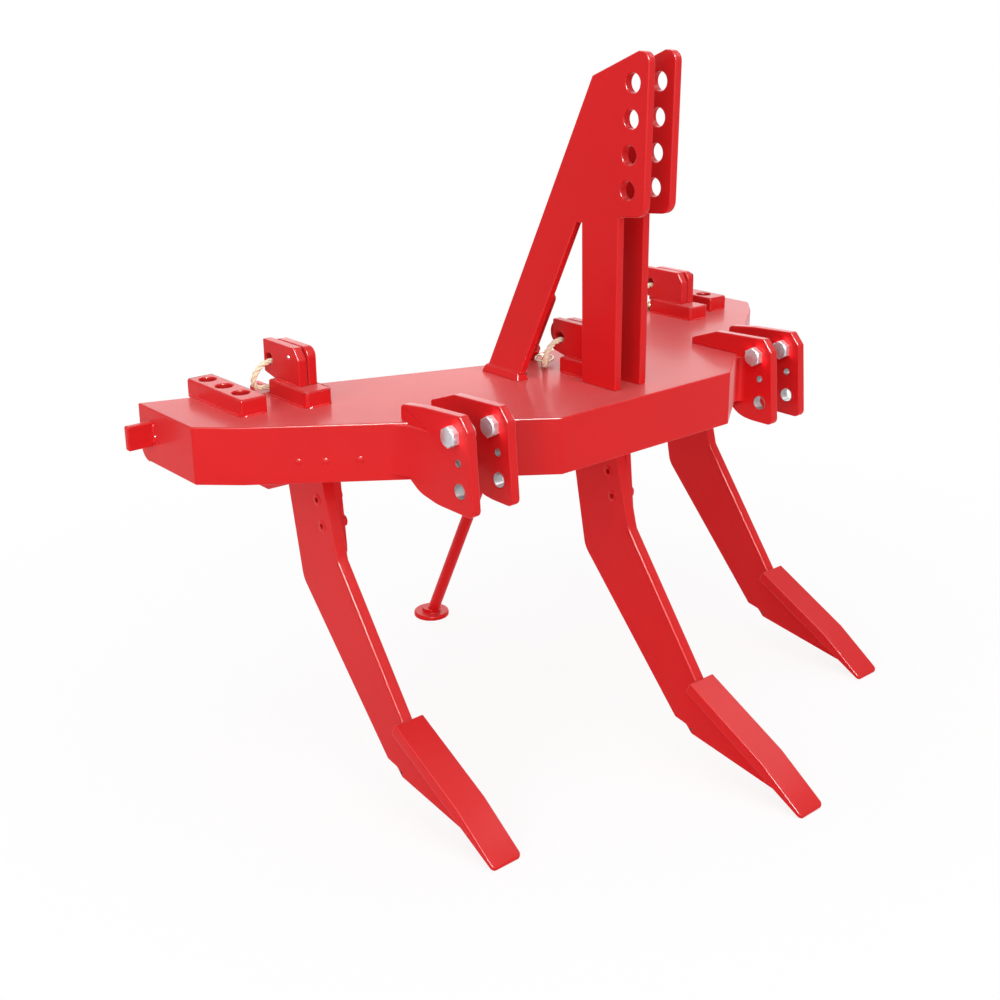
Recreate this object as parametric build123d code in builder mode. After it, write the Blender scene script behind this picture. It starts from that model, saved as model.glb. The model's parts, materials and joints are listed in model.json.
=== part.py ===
"""Three-shank chisel plow for a three-point hitch, standing on its points and its parking stand.

Millimetres, +Z up, the ground at Z = 0. The plow travels towards -Y and X runs across it.
A swept box frame carries three cranked shanks, each hung on a bracket plate under the frame and
topped by a drilled head of two plates. Two pairs of hitch plates bite the front of the frame, and
an A-shaped mast carries the top link.
"""

import math
import os

from build123d import *

os.makedirs("parts", exist_ok=True)

# ---- box frame ----
FRAME_TOP = 730.0  # top face above the ground
FRAME_DEPTH = 112.0
SHEET = 8.0  # wall of the box
NOSE_HALF = 236.0  # half of the straight front
NOSE_Y = -114.0
TAIL_HALF = 100.0  # half of the straight back
TAIL_Y = 268.0
TIP_HALF = 780.0  # half of the frame's width
TIP_FRONT_Y = 292.0
TIP_REAR_Y = 502.0
FOLD_IN, FOLD_BACK = 64.0, 60.0  # the front wall folds again this far short of the tip
REAR_BEND = 28.0  # outer radius of the folded lower rear edge
TAB_LENGTH, TAB_HEIGHT, TAB_THICK = 53.0, 49.0, 14.0  # stub on each end
TAB_BELOW_TOP = 25.0
TAB_FROM_REAR = 43.0  # rear corner of the end to the rear face of the stub

# ---- drilled strips on the frame ----
STRIP_FROM_TIP = 128.0  # the strip's middle from the frame's end
STRIP_WIDTH, STRIP_HEIGHT, STRIP_LENGTH = 56.0, 33.0, 206.0
STRIP_FRONT_Y = 282.0
STRIP_HOLE = 34.0
STRIP_HOLE_FIRST = 48.0  # front end to the first hole
STRIP_HOLE_PITCH = 63.0

# ---- shanks, each from its own place: Y back from it, Z above the ground ----
SHANK_FROM_TIP = 242.0  # outer shanks from the frame's ends
SHANK_X = TIP_HALF - SHANK_FROM_TIP
SHANK_SET_BACK = 256.0  # outer shanks behind the middle one
SHANK_THICK = 25.0
SHANK_TOP_FRONT, SHANK_TOP_REAR = 2.0, 124.0
SHANK_BELOW_LID = 4.0  # room between its top and the lid
SHANK_FRONT_Y, SHANK_FRONT_Z = -73.0, 437.0  # crank at the front
SHANK_NECK_Y, SHANK_NECK_Z = 86.0, 522.0
SHANK_REAR_Y, SHANK_REAR_Z = 54.0, 360.0  # crank at the rear
SHANK_FRONT_BEND = 40.0
SHANK_REAR_BEND = 50.0
SLOT_ROOM = 1.5  # room around a shank in the frame's floor

# ---- points and the feet that carry them, from the shank's place too ----
SHARE_WIDTH = 68.0
SHARE_THICK = 25.0
SHARE_TIP_THICK = 8.0
SHARE_BACK_Y, SHARE_BACK_Z = -273.0, 172.0
SHARE_BEND_Y, SHARE_BEND_Z = -456.0, 79.0
SHARE_TIP_Y = -559.0
SHARE_ROUND = 9.0  # corners of its front edge
SHARE_PROUD = 5.6  # it stands this far out from the shank's front
FOOT_TIP_Y = -540.0  # the foot runs out under the point here
HEEL_Y, HEEL_Z = -217.0, 67.0
HEEL_NOTCH_Y, HEEL_NOTCH_Z = -247.0, 62.0
HEEL_LOW_Y, HEEL_LOW_Z = -262.0, 47.0

# ---- head plates ----
BLOCK_HEIGHT = 31.0
BLOCK_OUT, BLOCK_IN = 22.0, 38.0  # sides of the base block from the shank's middle plane
BLOCK_REAR = 126.0
BLOCK_CORNER = 9.0
HEAD_PLATE = 20.0
HEAD_SLIT = 2.0
HEAD_TOP = 835.0
HEAD_REAR = 160.0
HEAD_CHAMFER_Y, HEAD_CHAMFER_Z = 16.0, 22.0
HEAD_ROUND = 20.0  # front corner of the inner plate
HEAD_HOLE = 24.0
HEAD_HOLE_Y, HEAD_HOLE_Z = 140.0, 798.0
LOBE_RADIUS = 27.0
LOBE_Y, LOBE_Z = 165.0, 800.0

# ---- bracket plate under the frame, from the shank's place ----
BRACKET_PLATE = 16.0
BRACKET_TOP_Y = -34.0  # its front edge where it leaves the frame
BRACKET_FOOT_Y, BRACKET_FOOT_Z = -52.0, 430.0
BRACKET_TOE = 16.0  # round lower front corner
BRACKET_REAR_Y, BRACKET_REAR_Z = 117.0, 538.0
BRACKET_BOLT = 16.0
BRACKET_HEAD, BRACKET_HEAD_HIGH = 25.0, 7.0  # its round head
BRACKET_NUT, BRACKET_NUT_HIGH = 24.0, 14.0

# ---- hitch plates ----
HITCH_HALF = 412.5  # middle of each pair of hitch plates
HITCH_PITCH = 91.5
HITCH_PLATE = 20.0
HITCH_TOP, HITCH_BOTTOM = 776.0, 592.0
HITCH_AHEAD = 147.22708  # its front edge lies this far before the frame's front at HITCH_HALF
HITCH_RAKE = 13.0  # the front edge lies this much further back at the top
HITCH_NOSE_Y, HITCH_NOSE_Z = 22.0, 25.0  # cut of the upper front corner
HITCH_TOE = 14.0  # round of the lower front corner
HITCH_TAIL_FALL = 6.0  # the top edge drops this much before it slopes to the tail
HITCH_TAIL_RUN = 70.0
HITCH_UNDER = 12.0  # the plate's lower edge ends this far behind the frame's front
GUSSET_SHORT = 3.0  # a gusset stops this far below the frame's top
GUSSET_BOLT_ROOM = 1.0  # and this far behind the bolt's head
HITCH_PIN = 28.8
HITCH_PIN_IN, HITCH_PIN_Z = 38.0, 636.0  # IN: behind the front edge
HITCH_BOLT = 24.0
HITCH_BOLT_IN, HITCH_BOLT_Z = 54.0, 736.0
HITCH_SPARE = 14.0
HITCH_SPARE_IN, HITCH_SPARE_Z = 41.0, 688.0
BOLT_FLATS, BOLT_HEAD, BOLT_NUT = 36.0, 15.0, 19.0

# ---- mast ----
MAST_GAP = 52.0
MAST_PLATE = 18.0
MAST_EDGE = 40.0  # row of holes to the front edge
MAST_ABOVE, MAST_BELOW = 57.0, 46.0  # top hole to the peak, lowest hole to the shoulder's foot
MAST_PEAK_BACK = 28.0
MAST_ROUND_TOP, MAST_ROUND_LOW = 20.0, 26.0
MAST_HOLE = 36.0
MAST_HOLE_Y, MAST_HOLE_Z = -88.0, 1319.0  # top hole
MAST_PITCH = 65.0
MAST_HOLES = 4
MAST_LEAN = 2.8  # each lower hole lies this much further back
LEG_FRONT_Y, LEG_REAR_Y = -58.0, 36.0
BRACE_TOP_Z = 1050.0  # the rear leg bends outwards here
BRACE_WIDTH = 100.0
BRACE_FOOT_OUT = 88.0  # sideways run of the rear leg
BRACE_FOOT_BACK = 75.0  # its run backwards
SHOE_HEIGHT, SHOE_MARGIN = 15.0, 7.0

# ---- parking stand ----
STAND_LEAN = 26.3  # degrees from upright
STAND_Y = 251.2  # where its axis crosses the frame's top
ROD = 28.0
ROD_TOP_Z = 872.0
PAD_WIDTH, PAD_THICK = 86.0, 11.0
PAD_ROUND = 4.0
PAD_BOSS, PAD_BOSS_HIGH = 46.0, 9.0  # raised seat of the rod
SLEEVE = 40.0
SLEEVE_ROOM = 0.5  # around the rod
SLEEVE_ABOVE, SLEEVE_BELOW = 34.0, 128.0  # along the axis, from the frame's top
CLAMP_BOLT = 12.0
CLAMP_FLATS = 19.0
CLAMP_AT, CLAMP_BOSS = 20.0, 10.0  # up the axis from the frame's top; out from the sleeve

# ---- lanyards ----
ROPE = 12.0
PIN, PIN_LENGTH = 10.0, 38.0
PIN_HEAD, PIN_HEAD_LENGTH = 16.0, 16.0
RING, RING_WIRE = 24.0, 4.0

MIDDLE_Y = 48.0  # half way from the points to the stand's foot, where the saved pieces have Y = 0

FRAME_BOTTOM = FRAME_TOP - FRAME_DEPTH
BLOCK_TOP = FRAME_TOP + BLOCK_HEIGHT

# Each shank: name, x, y, front of its base block, front of its head plates, tall rear hook or not.
SHANKS = [
    ("left", -SHANK_X, SHANK_SET_BACK, -8.0, 34.0, True),
    ("middle", 0.0, 0.0, 42.0, 47.0, False),
    ("right", SHANK_X, SHANK_SET_BACK, -8.0, 34.0, True),
]
# Bolts through shank and bracket plate: name, y and z.
BRACKET_BOLTS = [("upper", -13.0, 546.0), ("lower", -26.0, 495.0)]
# Each hitch plate: name, which way it lies from its pair's middle, its tail's reach behind the
# frame's front and height above the frame, its lower edge's two bends before the frame's front and
# their lift, and its gusset's reach along the frame and along the plate.
HITCHES = [
    ("outer", 1, 28.0, 31.0, (76.0, 0.0), (24.0, 9.0), (40.0, 96.0)),
    ("inner", -1, 122.0, 15.0, (56.0, 0.0), (18.0, 4.0), (50.0, 34.0)),
]
SIDES = [("left", -1), ("right", 1)]


def save(builder, name):
    """Put the middle of the plow's length at Y = 0, then label a finished piece and write it."""
    builder.part.label = name
    placed = Pos(0, -MIDDLE_Y, 0) * builder.part
    placed.label = name
    export_step(placed, f"parts/{name}.step")


def box(x, y, z):
    """A box between three pairs of coordinates, kept out of any builder."""
    size = [b - a for a, b in (x, y, z)]
    centre = [(a + b) / 2 for a, b in (x, y, z)]
    return Pos(*centre) * Box(*size, mode=Mode.PRIVATE)


# ---- frame: a folded floor with its walls, a lid and two ends ----
half_plan = [
    (NOSE_HALF, NOSE_Y),
    (TIP_HALF - FOLD_IN, TIP_FRONT_Y - FOLD_BACK),
    (TIP_HALF, TIP_FRONT_Y),
    (TIP_HALF, TIP_REAR_Y),
    (TAIL_HALF, TAIL_Y),
]
plan = half_plan + [(-x, y) for x, y in reversed(half_plan)]


def between(a, b, at, key=0):
    """The point on the line through a and b whose coordinate number key is at."""
    share = (at - a[key]) / (b[key] - a[key])
    return tuple(p + (q - p) * share for p, q in zip(a, b))


def front_at(x):
    """Y of the frame's front, this far from the middle."""
    return max(NOSE_Y, between(half_plan[0], half_plan[1], x)[1])


def frame_block(inset, low, high, bend):
    """The frame's outline, drawn in by inset, with its lower rear edge rounded."""
    with BuildPart() as block:
        with BuildSketch(Plane.XY.offset(low)) as outline:
            Polygon(*plan, align=None)
            if inset:
                offset(amount=-inset, kind=Kind.INTERSECTION)
        extrude(amount=high - low)
        floor = block.edges().group_by(Axis.Z)[0]
        inside = [e for e in floor if abs(e.center().X) < TIP_HALF - 2 * SHEET]
        rear = [e for e in inside if e.center().Y > front_at(abs(e.center().X)) + 4 * SHEET]
        fillet(rear, bend)
    return block.part


hull = frame_block(0, FRAME_BOTTOM, FRAME_TOP, REAR_BEND)
hollow = frame_block(SHEET, FRAME_BOTTOM + SHEET, FRAME_TOP - SHEET, REAR_BEND - SHEET)
lid_zone = box((-2000, 2000), (-2000, 2000), (FRAME_TOP - SHEET, FRAME_TOP + 50))
inner_zone = box((-TIP_HALF + SHEET, TIP_HALF - SHEET), (-2000, 2000), (0, FRAME_TOP - SHEET))

# The stand's sleeve runs through the lid and the rear wall.
lean = math.radians(STAND_LEAN)
stand_axis = Vector(0, -math.sin(lean), math.cos(lean))
stand_foot = Vector(0, STAND_Y, FRAME_TOP)


def on_stand(distance):
    """A plane across the stand's axis, this far up it from the frame's top."""
    return Plane(origin=stand_foot + stand_axis * distance, x_dir=(1, 0, 0), z_dir=stand_axis)


def across_stand(distance, out):
    """A plane that faces backwards and up from the stand's axis, this far out from it."""
    outwards = Vector(0, math.cos(lean), math.sin(lean))
    return Plane(
        origin=stand_foot + stand_axis * distance + outwards * out, x_dir=(1, 0, 0), z_dir=outwards
    )


with BuildPart() as sleeve_hole:
    with BuildSketch(on_stand(-SLEEVE_BELOW - 60)):
        Circle(SLEEVE / 2)
    extrude(amount=SLEEVE_BELOW + SLEEVE_ABOVE + 120)

# ---- shank outlines, in the plane of travel, from the shank's own place ----
share_back = (SHARE_BACK_Y, SHARE_BACK_Z)
share_bend = (SHARE_BEND_Y, SHARE_BEND_Z)
share_point = (SHARE_TIP_Y, SHARE_TIP_THICK)
share_point_low = (SHARE_TIP_Y + 2, 0.0)
blade = Vector(share_bend[0] - share_back[0], share_bend[1] - share_back[1]).normalized()
across = Vector(blade.Y, -blade.X) * SHARE_THICK
if across.Y > 0:
    across = across * -1
share_back_low = (share_back[0] + across.X, share_back[1] + across.Y)
share_bend_low = (share_bend[0] + across.X - 17.0, share_bend[1] + across.Y - 17.0 * blade.Y / blade.X)
proud = SHARE_PROUD / SHARE_THICK
foot_tip = between(share_bend_low, share_point_low, FOOT_TIP_Y)
heel_top = (HEEL_Y, HEEL_Z)
shank_top = FRAME_TOP - SHEET - SHANK_BELOW_LID
shank_outline = [
    (SHANK_TOP_FRONT, shank_top),
    (SHANK_FRONT_Y, SHANK_FRONT_Z),
    (share_back[0] + across.X * proud, share_back[1] + across.Y * proud),
    share_back_low,
    heel_top,
    (SHANK_REAR_Y, SHANK_REAR_Z),
    (SHANK_NECK_Y, SHANK_NECK_Z),
    (SHANK_TOP_REAR, shank_top),
]
slot_front = between(shank_outline[0], shank_outline[1], FRAME_BOTTOM, 1)[0] - 2 * SLOT_ROOM
slot_rear = between(shank_outline[-2], shank_outline[-1], FRAME_BOTTOM + SHEET, 1)[0] + 2 * SLOT_ROOM
foot_outline = [
    share_back_low,
    share_bend_low,
    foot_tip,
    (HEEL_LOW_Y, HEEL_LOW_Z),
    (HEEL_NOTCH_Y, HEEL_NOTCH_Z),
    heel_top,
]


def side_plane(x):
    """A plane facing +X, with Y across it and Z up it."""
    return Plane(origin=(x, 0, 0), x_dir=(0, 1, 0), z_dir=(1, 0, 0))


def moved(points, y):
    """The same outline, further back."""
    return [(py + y, pz) for py, pz in points]


with BuildPart() as frame_lid:
    add(hull)
    add(lid_zone, mode=Mode.INTERSECT)
    add(sleeve_hole.part, mode=Mode.SUBTRACT)
save(frame_lid, "frame_lid")

with BuildPart() as frame_tray:
    add(hull)
    add(hollow, mode=Mode.SUBTRACT)
    add(inner_zone, mode=Mode.INTERSECT)
    add(sleeve_hole.part, mode=Mode.SUBTRACT)
    for name, x, y, *_ in SHANKS:
        half = SHANK_THICK / 2 + SLOT_ROOM
        slot_y = (y + slot_front, y + slot_rear)
        floor_z = (FRAME_BOTTOM - 5, FRAME_BOTTOM + SHEET + 1)
        add(box((x - half, x + half), slot_y, floor_z), mode=Mode.SUBTRACT)
save(frame_tray, "frame_tray")

for side, sign in SIDES:
    outer, inner = sign * TIP_HALF, sign * (TIP_HALF - SHEET)
    with BuildPart() as frame_end:
        add(hull)
        zone = box(sorted((outer, inner)), (-2000, 2000), (0, FRAME_TOP - SHEET))
        add(zone, mode=Mode.INTERSECT)
    save(frame_end, f"frame_end_{side}")

    tab_top = FRAME_TOP - TAB_BELOW_TOP
    tab_rear = TIP_REAR_Y - TAB_FROM_REAR
    with BuildPart() as end_tab:
        with BuildSketch(Plane.XZ.offset(-tab_rear)):
            with Locations((sign * (TIP_HALF + TAB_LENGTH / 2), tab_top - TAB_HEIGHT / 2)):
                Rectangle(TAB_LENGTH, TAB_HEIGHT)
        extrude(amount=TAB_THICK)
        tips = end_tab.edges().filter_by(Axis.Y).sort_by(Axis.X)
        fillet(tips[:2] if sign < 0 else tips[-2:], 4.0)
    save(end_tab, f"end_tab_{side}")

    with BuildPart() as strip:
        strip_x = sign * (TIP_HALF - STRIP_FROM_TIP)
        with BuildSketch(Plane.XY.offset(FRAME_TOP)):
            with Locations((strip_x, STRIP_FRONT_Y + STRIP_LENGTH / 2)):
                Rectangle(STRIP_WIDTH, STRIP_LENGTH)
            for n in range(3):
                with Locations((strip_x, STRIP_FRONT_Y + STRIP_HOLE_FIRST + n * STRIP_HOLE_PITCH)):
                    Circle(STRIP_HOLE / 2, mode=Mode.SUBTRACT)
        extrude(amount=STRIP_HEIGHT)
        rim = strip.faces().sort_by(Axis.Z)[-1].outer_wire().edges()
        chamfer(rim, 2.0)
    save(strip, f"drilled_strip_{side}")

# ---- shanks, points and heads ----
for name, x, y, block_front, head_front, hooked in SHANKS:
    with BuildPart() as shank:
        with BuildSketch(side_plane(x - SHANK_THICK / 2)) as profile:
            Polygon(*moved(shank_outline, y), align=None)
            corners = profile.vertices()
            fillet(corners.sort_by_distance((y + SHANK_FRONT_Y, SHANK_FRONT_Z))[0], SHANK_FRONT_BEND)
            fillet(
                profile.vertices().sort_by_distance((y + SHANK_REAR_Y, SHANK_REAR_Z))[0], SHANK_REAR_BEND
            )
        extrude(amount=SHANK_THICK)
        for _, bolt_y, bolt_z in BRACKET_BOLTS:
            with BuildSketch(side_plane(x - SHANK_THICK)):
                with Locations((y + bolt_y, bolt_z)):
                    Circle(BRACKET_BOLT / 2)
            extrude(amount=2 * SHANK_THICK, mode=Mode.SUBTRACT)
    save(shank, f"shank_{name}")

    with BuildPart() as shoe:
        with BuildSketch(side_plane(x - SHANK_THICK / 2)):
            Polygon(*moved(foot_outline, y), align=None)
        extrude(amount=SHANK_THICK)
    save(shoe, f"foot_{name}")

    with BuildPart() as share:
        with BuildSketch(side_plane(x - SHARE_WIDTH / 2)):
            outline = [share_back, share_bend, share_point, share_point_low, share_bend_low]
            Polygon(*moved(outline + [share_back_low], y), align=None)
        extrude(amount=SHARE_WIDTH)
        tips = share.edges().filter_by(Axis.Z, tolerance=25).sort_by(Axis.Y)[:2]
        fillet(tips, SHARE_ROUND)
    save(share, f"share_{name}")

    with BuildPart() as base:
        with BuildSketch(Plane.XY.offset(FRAME_TOP)) as foot_plan:
            with Locations((x + (BLOCK_IN - BLOCK_OUT) / 2, y + (block_front + BLOCK_REAR) / 2)):
                Rectangle(BLOCK_OUT + BLOCK_IN, BLOCK_REAR - block_front)
            fillet(foot_plan.vertices().group_by(Axis.Y)[0], BLOCK_CORNER)
        extrude(amount=BLOCK_HEIGHT)
        chamfer(base.faces().sort_by(Axis.Z)[-1].outer_wire().edges(), 1.5)
    save(base, f"head_base_{name}")

    # Outer head plate, square at its rear, and inner one with a round lobe behind.
    with BuildPart() as cheek:
        with BuildSketch(side_plane(x + SHANK_THICK / 2 - HEAD_SLIT - HEAD_PLATE)):
            Polygon(
                *moved(
                    [
                        (head_front, BLOCK_TOP),
                        (head_front, HEAD_TOP - HEAD_CHAMFER_Z),
                        (head_front + HEAD_CHAMFER_Y, HEAD_TOP),
                        (HEAD_REAR, HEAD_TOP),
                        (HEAD_REAR, BLOCK_TOP + 8),
                        (BLOCK_REAR - 2, BLOCK_TOP),
                    ],
                    y,
                ),
                align=None,
            )
            with Locations((y + HEAD_HOLE_Y, HEAD_HOLE_Z)):
                Circle(HEAD_HOLE / 2, mode=Mode.SUBTRACT)
        extrude(amount=HEAD_PLATE)
    save(cheek, f"head_cheek_{name}")

    with BuildPart() as lug:
        with BuildSketch(side_plane(x + SHANK_THICK / 2)) as profile:
            Polygon(
                *moved(
                    [
                        (head_front, BLOCK_TOP),
                        (head_front, HEAD_TOP),
                        (HEAD_REAR - 24, HEAD_TOP),
                        (LOBE_Y, LOBE_Z + LOBE_RADIUS),
                        (LOBE_Y, LOBE_Z - LOBE_RADIUS),
                        (BLOCK_REAR - 2, BLOCK_TOP),
                    ],
                    y,
                ),
                align=None,
            )
            fillet(profile.vertices().sort_by_distance((y + head_front, HEAD_TOP))[0], HEAD_ROUND)
            with Locations((y + LOBE_Y, LOBE_Z)):
                Circle(LOBE_RADIUS)
            with Locations((y + HEAD_HOLE_Y, HEAD_HOLE_Z)):
                Circle(HEAD_HOLE / 2, mode=Mode.SUBTRACT)
        extrude(amount=HEAD_PLATE)
    save(lug, f"head_lug_{name}")

    # Bracket plate under the frame, beside the shank.
    foot = (BRACKET_FOOT_Y, BRACKET_FOOT_Z)
    low_edge = [(BRACKET_TOP_Y, FRAME_BOTTOM), foot, (foot[0] + 54, foot[1] - 12)]
    low_edge += [(foot[0] + 112, foot[1] + 32), (BRACKET_REAR_Y, BRACKET_REAR_Z)]
    if hooked:
        back = [(215, 498), (250, 498), (262, 520), (262, 712), (250, 724), (120, 724)]
    else:
        back = [(150, 545), (150, FRAME_BOTTOM)]
    with BuildPart() as bracket:
        with BuildSketch(side_plane(x + SHANK_THICK / 2)) as profile:
            Polygon(*moved(low_edge + back, y), align=None)
            fillet(profile.vertices().sort_by_distance((y + foot[0], foot[1]))[0], BRACKET_TOE)
        extrude(amount=BRACKET_PLATE)
        add(hull, mode=Mode.SUBTRACT)
        for _, bolt_y, bolt_z in BRACKET_BOLTS:
            with BuildSketch(side_plane(x)):
                with Locations((y + bolt_y, bolt_z)):
                    Circle(BRACKET_BOLT / 2)
            extrude(amount=2 * SHANK_THICK, mode=Mode.SUBTRACT)
    save(bracket, f"shank_bracket_{name}")

    for place, bolt_y, bolt_z in BRACKET_BOLTS:
        with BuildPart() as bolt:
            with BuildSketch(side_plane(x - SHANK_THICK / 2 - BRACKET_HEAD_HIGH)):
                with Locations((y + bolt_y, bolt_z)):
                    Circle(BRACKET_HEAD / 2)
            extrude(amount=BRACKET_HEAD_HIGH)
            with BuildSketch(side_plane(x - SHANK_THICK / 2)):
                with Locations((y + bolt_y, bolt_z)):
                    Circle(BRACKET_BOLT / 2)
            extrude(amount=SHANK_THICK + BRACKET_PLATE)
            with BuildSketch(side_plane(x + SHANK_THICK / 2 + BRACKET_PLATE)):
                with Locations((y + bolt_y, bolt_z)):
                    RegularPolygon(BRACKET_NUT / 2, 6, major_radius=False)
            extrude(amount=BRACKET_NUT_HIGH)
        save(bolt, f"shank_bolt_{place}_{name}")

# ---- hitch plates, their bolts, and gussets in the corners between them and the frame ----
HITCH_FRONT_Y = front_at(HITCH_HALF) - HITCH_AHEAD
HITCH_PIN_Y = HITCH_FRONT_Y + HITCH_PIN_IN
HITCH_BOLT_Y = HITCH_FRONT_Y + HITCH_BOLT_IN
HITCH_SPARE_Y = HITCH_FRONT_Y + HITCH_SPARE_IN
for side, sign in SIDES:
    for place, way, tail_back, tail_high, bend_a, bend_b, (along_frame, along_plate) in HITCHES:
        middle = HITCH_HALF + way * HITCH_PITCH / 2
        x = sign * middle
        wall = front_at(middle)
        tail = wall + tail_back
        toe = (HITCH_FRONT_Y, HITCH_BOTTOM)
        low = [(wall - before, HITCH_BOTTOM + lift) for before, lift in (bend_a, bend_b)]
        with BuildPart() as hitch:
            with BuildSketch(side_plane(x - HITCH_PLATE / 2)) as profile:
                Polygon(
                    (tail, FRAME_TOP),
                    (tail, FRAME_TOP + tail_high),
                    (tail - HITCH_TAIL_RUN, HITCH_TOP - HITCH_TAIL_FALL),
                    (HITCH_FRONT_Y + HITCH_RAKE + HITCH_NOSE_Y, HITCH_TOP),
                    (HITCH_FRONT_Y + HITCH_RAKE, HITCH_TOP - HITCH_NOSE_Z),
                    toe,
                    low[0],
                    low[1],
                    (wall + HITCH_UNDER, FRAME_BOTTOM + 6),
                    align=None,
                )
                for corner, radius in ((toe, HITCH_TOE), (low[0], 150.0), (low[1], 70.0)):
                    fillet(profile.vertices().sort_by_distance(corner)[0], radius)
                tip = (tail, FRAME_TOP + tail_high)
                fillet(profile.vertices().sort_by_distance(tip)[0], tail_high / 3)
                with Locations((HITCH_PIN_Y, HITCH_PIN_Z)):
                    Circle(HITCH_PIN / 2, mode=Mode.SUBTRACT)
                with Locations((HITCH_BOLT_Y, HITCH_BOLT_Z)):
                    Circle(HITCH_BOLT / 2, mode=Mode.SUBTRACT)
                with Locations((HITCH_SPARE_Y, HITCH_SPARE_Z)):
                    Circle(HITCH_SPARE / 2, mode=Mode.SUBTRACT)
            extrude(amount=HITCH_PLATE)
            add(hull, mode=Mode.SUBTRACT)
        save(hitch, f"hitch_plate_{side}_{place}")

        # The gusset's hollow face leaves the frame's front and runs into the plate's outer side.
        face_x = middle + way * HITCH_PLATE / 2
        run = Vector(1, (half_plan[1][1] - half_plan[0][1]) / (half_plan[1][0] - half_plan[0][0]))
        corner = Vector(face_x, front_at(face_x))
        on_frame = corner + run.normalized() * way * along_frame
        behind_bolt = corner.Y - (HITCH_BOLT_Y + BOLT_FLATS / 2 + GUSSET_BOLT_ROOM)
        on_plate = corner - Vector(0, min(along_plate, behind_bolt))
        ends = [(sign * p.X, p.Y) for p in (on_frame, corner, on_plate)]
        with BuildPart() as gusset:
            with BuildSketch(Plane.XY.offset(FRAME_BOTTOM + 4 * GUSSET_SHORT)):
                with BuildLine():
                    Bezier(*ends)
                    Polyline(ends[2], ends[1], ends[0])
                make_face()
            extrude(amount=FRAME_DEPTH - 5 * GUSSET_SHORT)
        save(gusset, f"hitch_gusset_{side}_{place}")

        with BuildPart() as bolt:
            with BuildSketch(side_plane(x - HITCH_PLATE / 2 - BOLT_HEAD)):
                with Locations((HITCH_BOLT_Y, HITCH_BOLT_Z)):
                    RegularPolygon(BOLT_FLATS / 2, 6, major_radius=False)
            extrude(amount=BOLT_HEAD)
            with BuildSketch(side_plane(x - HITCH_PLATE / 2)):
                with Locations((HITCH_BOLT_Y, HITCH_BOLT_Z)):
                    Circle(HITCH_BOLT / 2)
            extrude(amount=HITCH_PLATE + BOLT_NUT + 4)
            with BuildSketch(side_plane(x + HITCH_PLATE / 2)):
                with Locations((HITCH_BOLT_Y, HITCH_BOLT_Z)):
                    RegularPolygon(BOLT_FLATS / 2, 6, major_radius=False)
            extrude(amount=BOLT_NUT)
        save(bolt, f"hitch_bolt_{side}_{place}")

# ---- mast: two plates whose rear legs splay out to the frame ----
# Each plate: side, sign, its back edge above the bend, the front of its rear leg.
lug_low = MAST_HOLE_Z - (MAST_HOLES - 1) * MAST_PITCH - MAST_BELOW
peak = (MAST_HOLE_Y - MAST_EDGE + MAST_PEAK_BACK, MAST_HOLE_Z + MAST_ABOVE)
MASTS = [
    ("left", -1, [(peak[0] + 118, peak[1] - 48)], 57.0),
    ("right", 1, [(peak[0] + 48, peak[1] - 20), (peak[0] + 64, peak[1] - 136)], 0.0),
]
for side, sign, back_edge, brace_front in MASTS:
    inner_x = sign * MAST_GAP / 2
    outer_x = sign * (MAST_GAP / 2 + MAST_PLATE)
    front_low = (LEG_FRONT_Y - 66, lug_low)
    front_top = (MAST_HOLE_Y - MAST_EDGE, MAST_HOLE_Z + MAST_ABOVE - 2)
    leg_side = [(LEG_REAR_Y + 6, BRACE_TOP_Z), (LEG_REAR_Y, FRAME_TOP)]
    if brace_front > leg_side[0][0]:
        leg_side.insert(0, (brace_front, BRACE_TOP_Z))
    with BuildPart() as mast:
        with BuildSketch(side_plane(min(inner_x, outer_x))) as profile:
            Polygon(
                (LEG_FRONT_Y, FRAME_TOP),
                (LEG_FRONT_Y, lug_low - 6),
                front_low,
                front_top,
                peak,
                *back_edge,
                (brace_front + BRACE_WIDTH, BRACE_TOP_Z),
                *leg_side,
                align=None,
            )
            fillet(profile.vertices().sort_by_distance(front_low)[0], MAST_ROUND_LOW)
            fillet(profile.vertices().sort_by_distance(front_top)[0], MAST_ROUND_TOP)
            for n in range(MAST_HOLES):
                with Locations((MAST_HOLE_Y + n * MAST_LEAN, MAST_HOLE_Z - n * MAST_PITCH)):
                    Circle(MAST_HOLE / 2, mode=Mode.SUBTRACT)
        extrude(amount=MAST_PLATE)
        plate_x = (inner_x + outer_x) / 2
        foot_x = plate_x + sign * BRACE_FOOT_OUT
        leg_y = brace_front + BRACE_WIDTH / 2
        foot_y = leg_y + BRACE_FOOT_BACK
        with BuildSketch(Plane.XY.offset(BRACE_TOP_Z)):
            with Locations((plate_x, leg_y)):
                Rectangle(MAST_PLATE, BRACE_WIDTH)
        with BuildSketch(Plane.XY.offset(FRAME_TOP)):
            with Locations((foot_x, foot_y)):
                Rectangle(MAST_PLATE, BRACE_WIDTH)
        loft(ruled=True)
        with BuildSketch(Plane.XY.offset(FRAME_TOP)):
            with Locations((foot_x, foot_y - 2)):
                Rectangle(MAST_PLATE + 2 * SHOE_MARGIN, BRACE_WIDTH + 2 * SHOE_MARGIN)
        extrude(amount=SHOE_HEIGHT, taper=20)
    save(mast, f"mast_plate_{side}")

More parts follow.
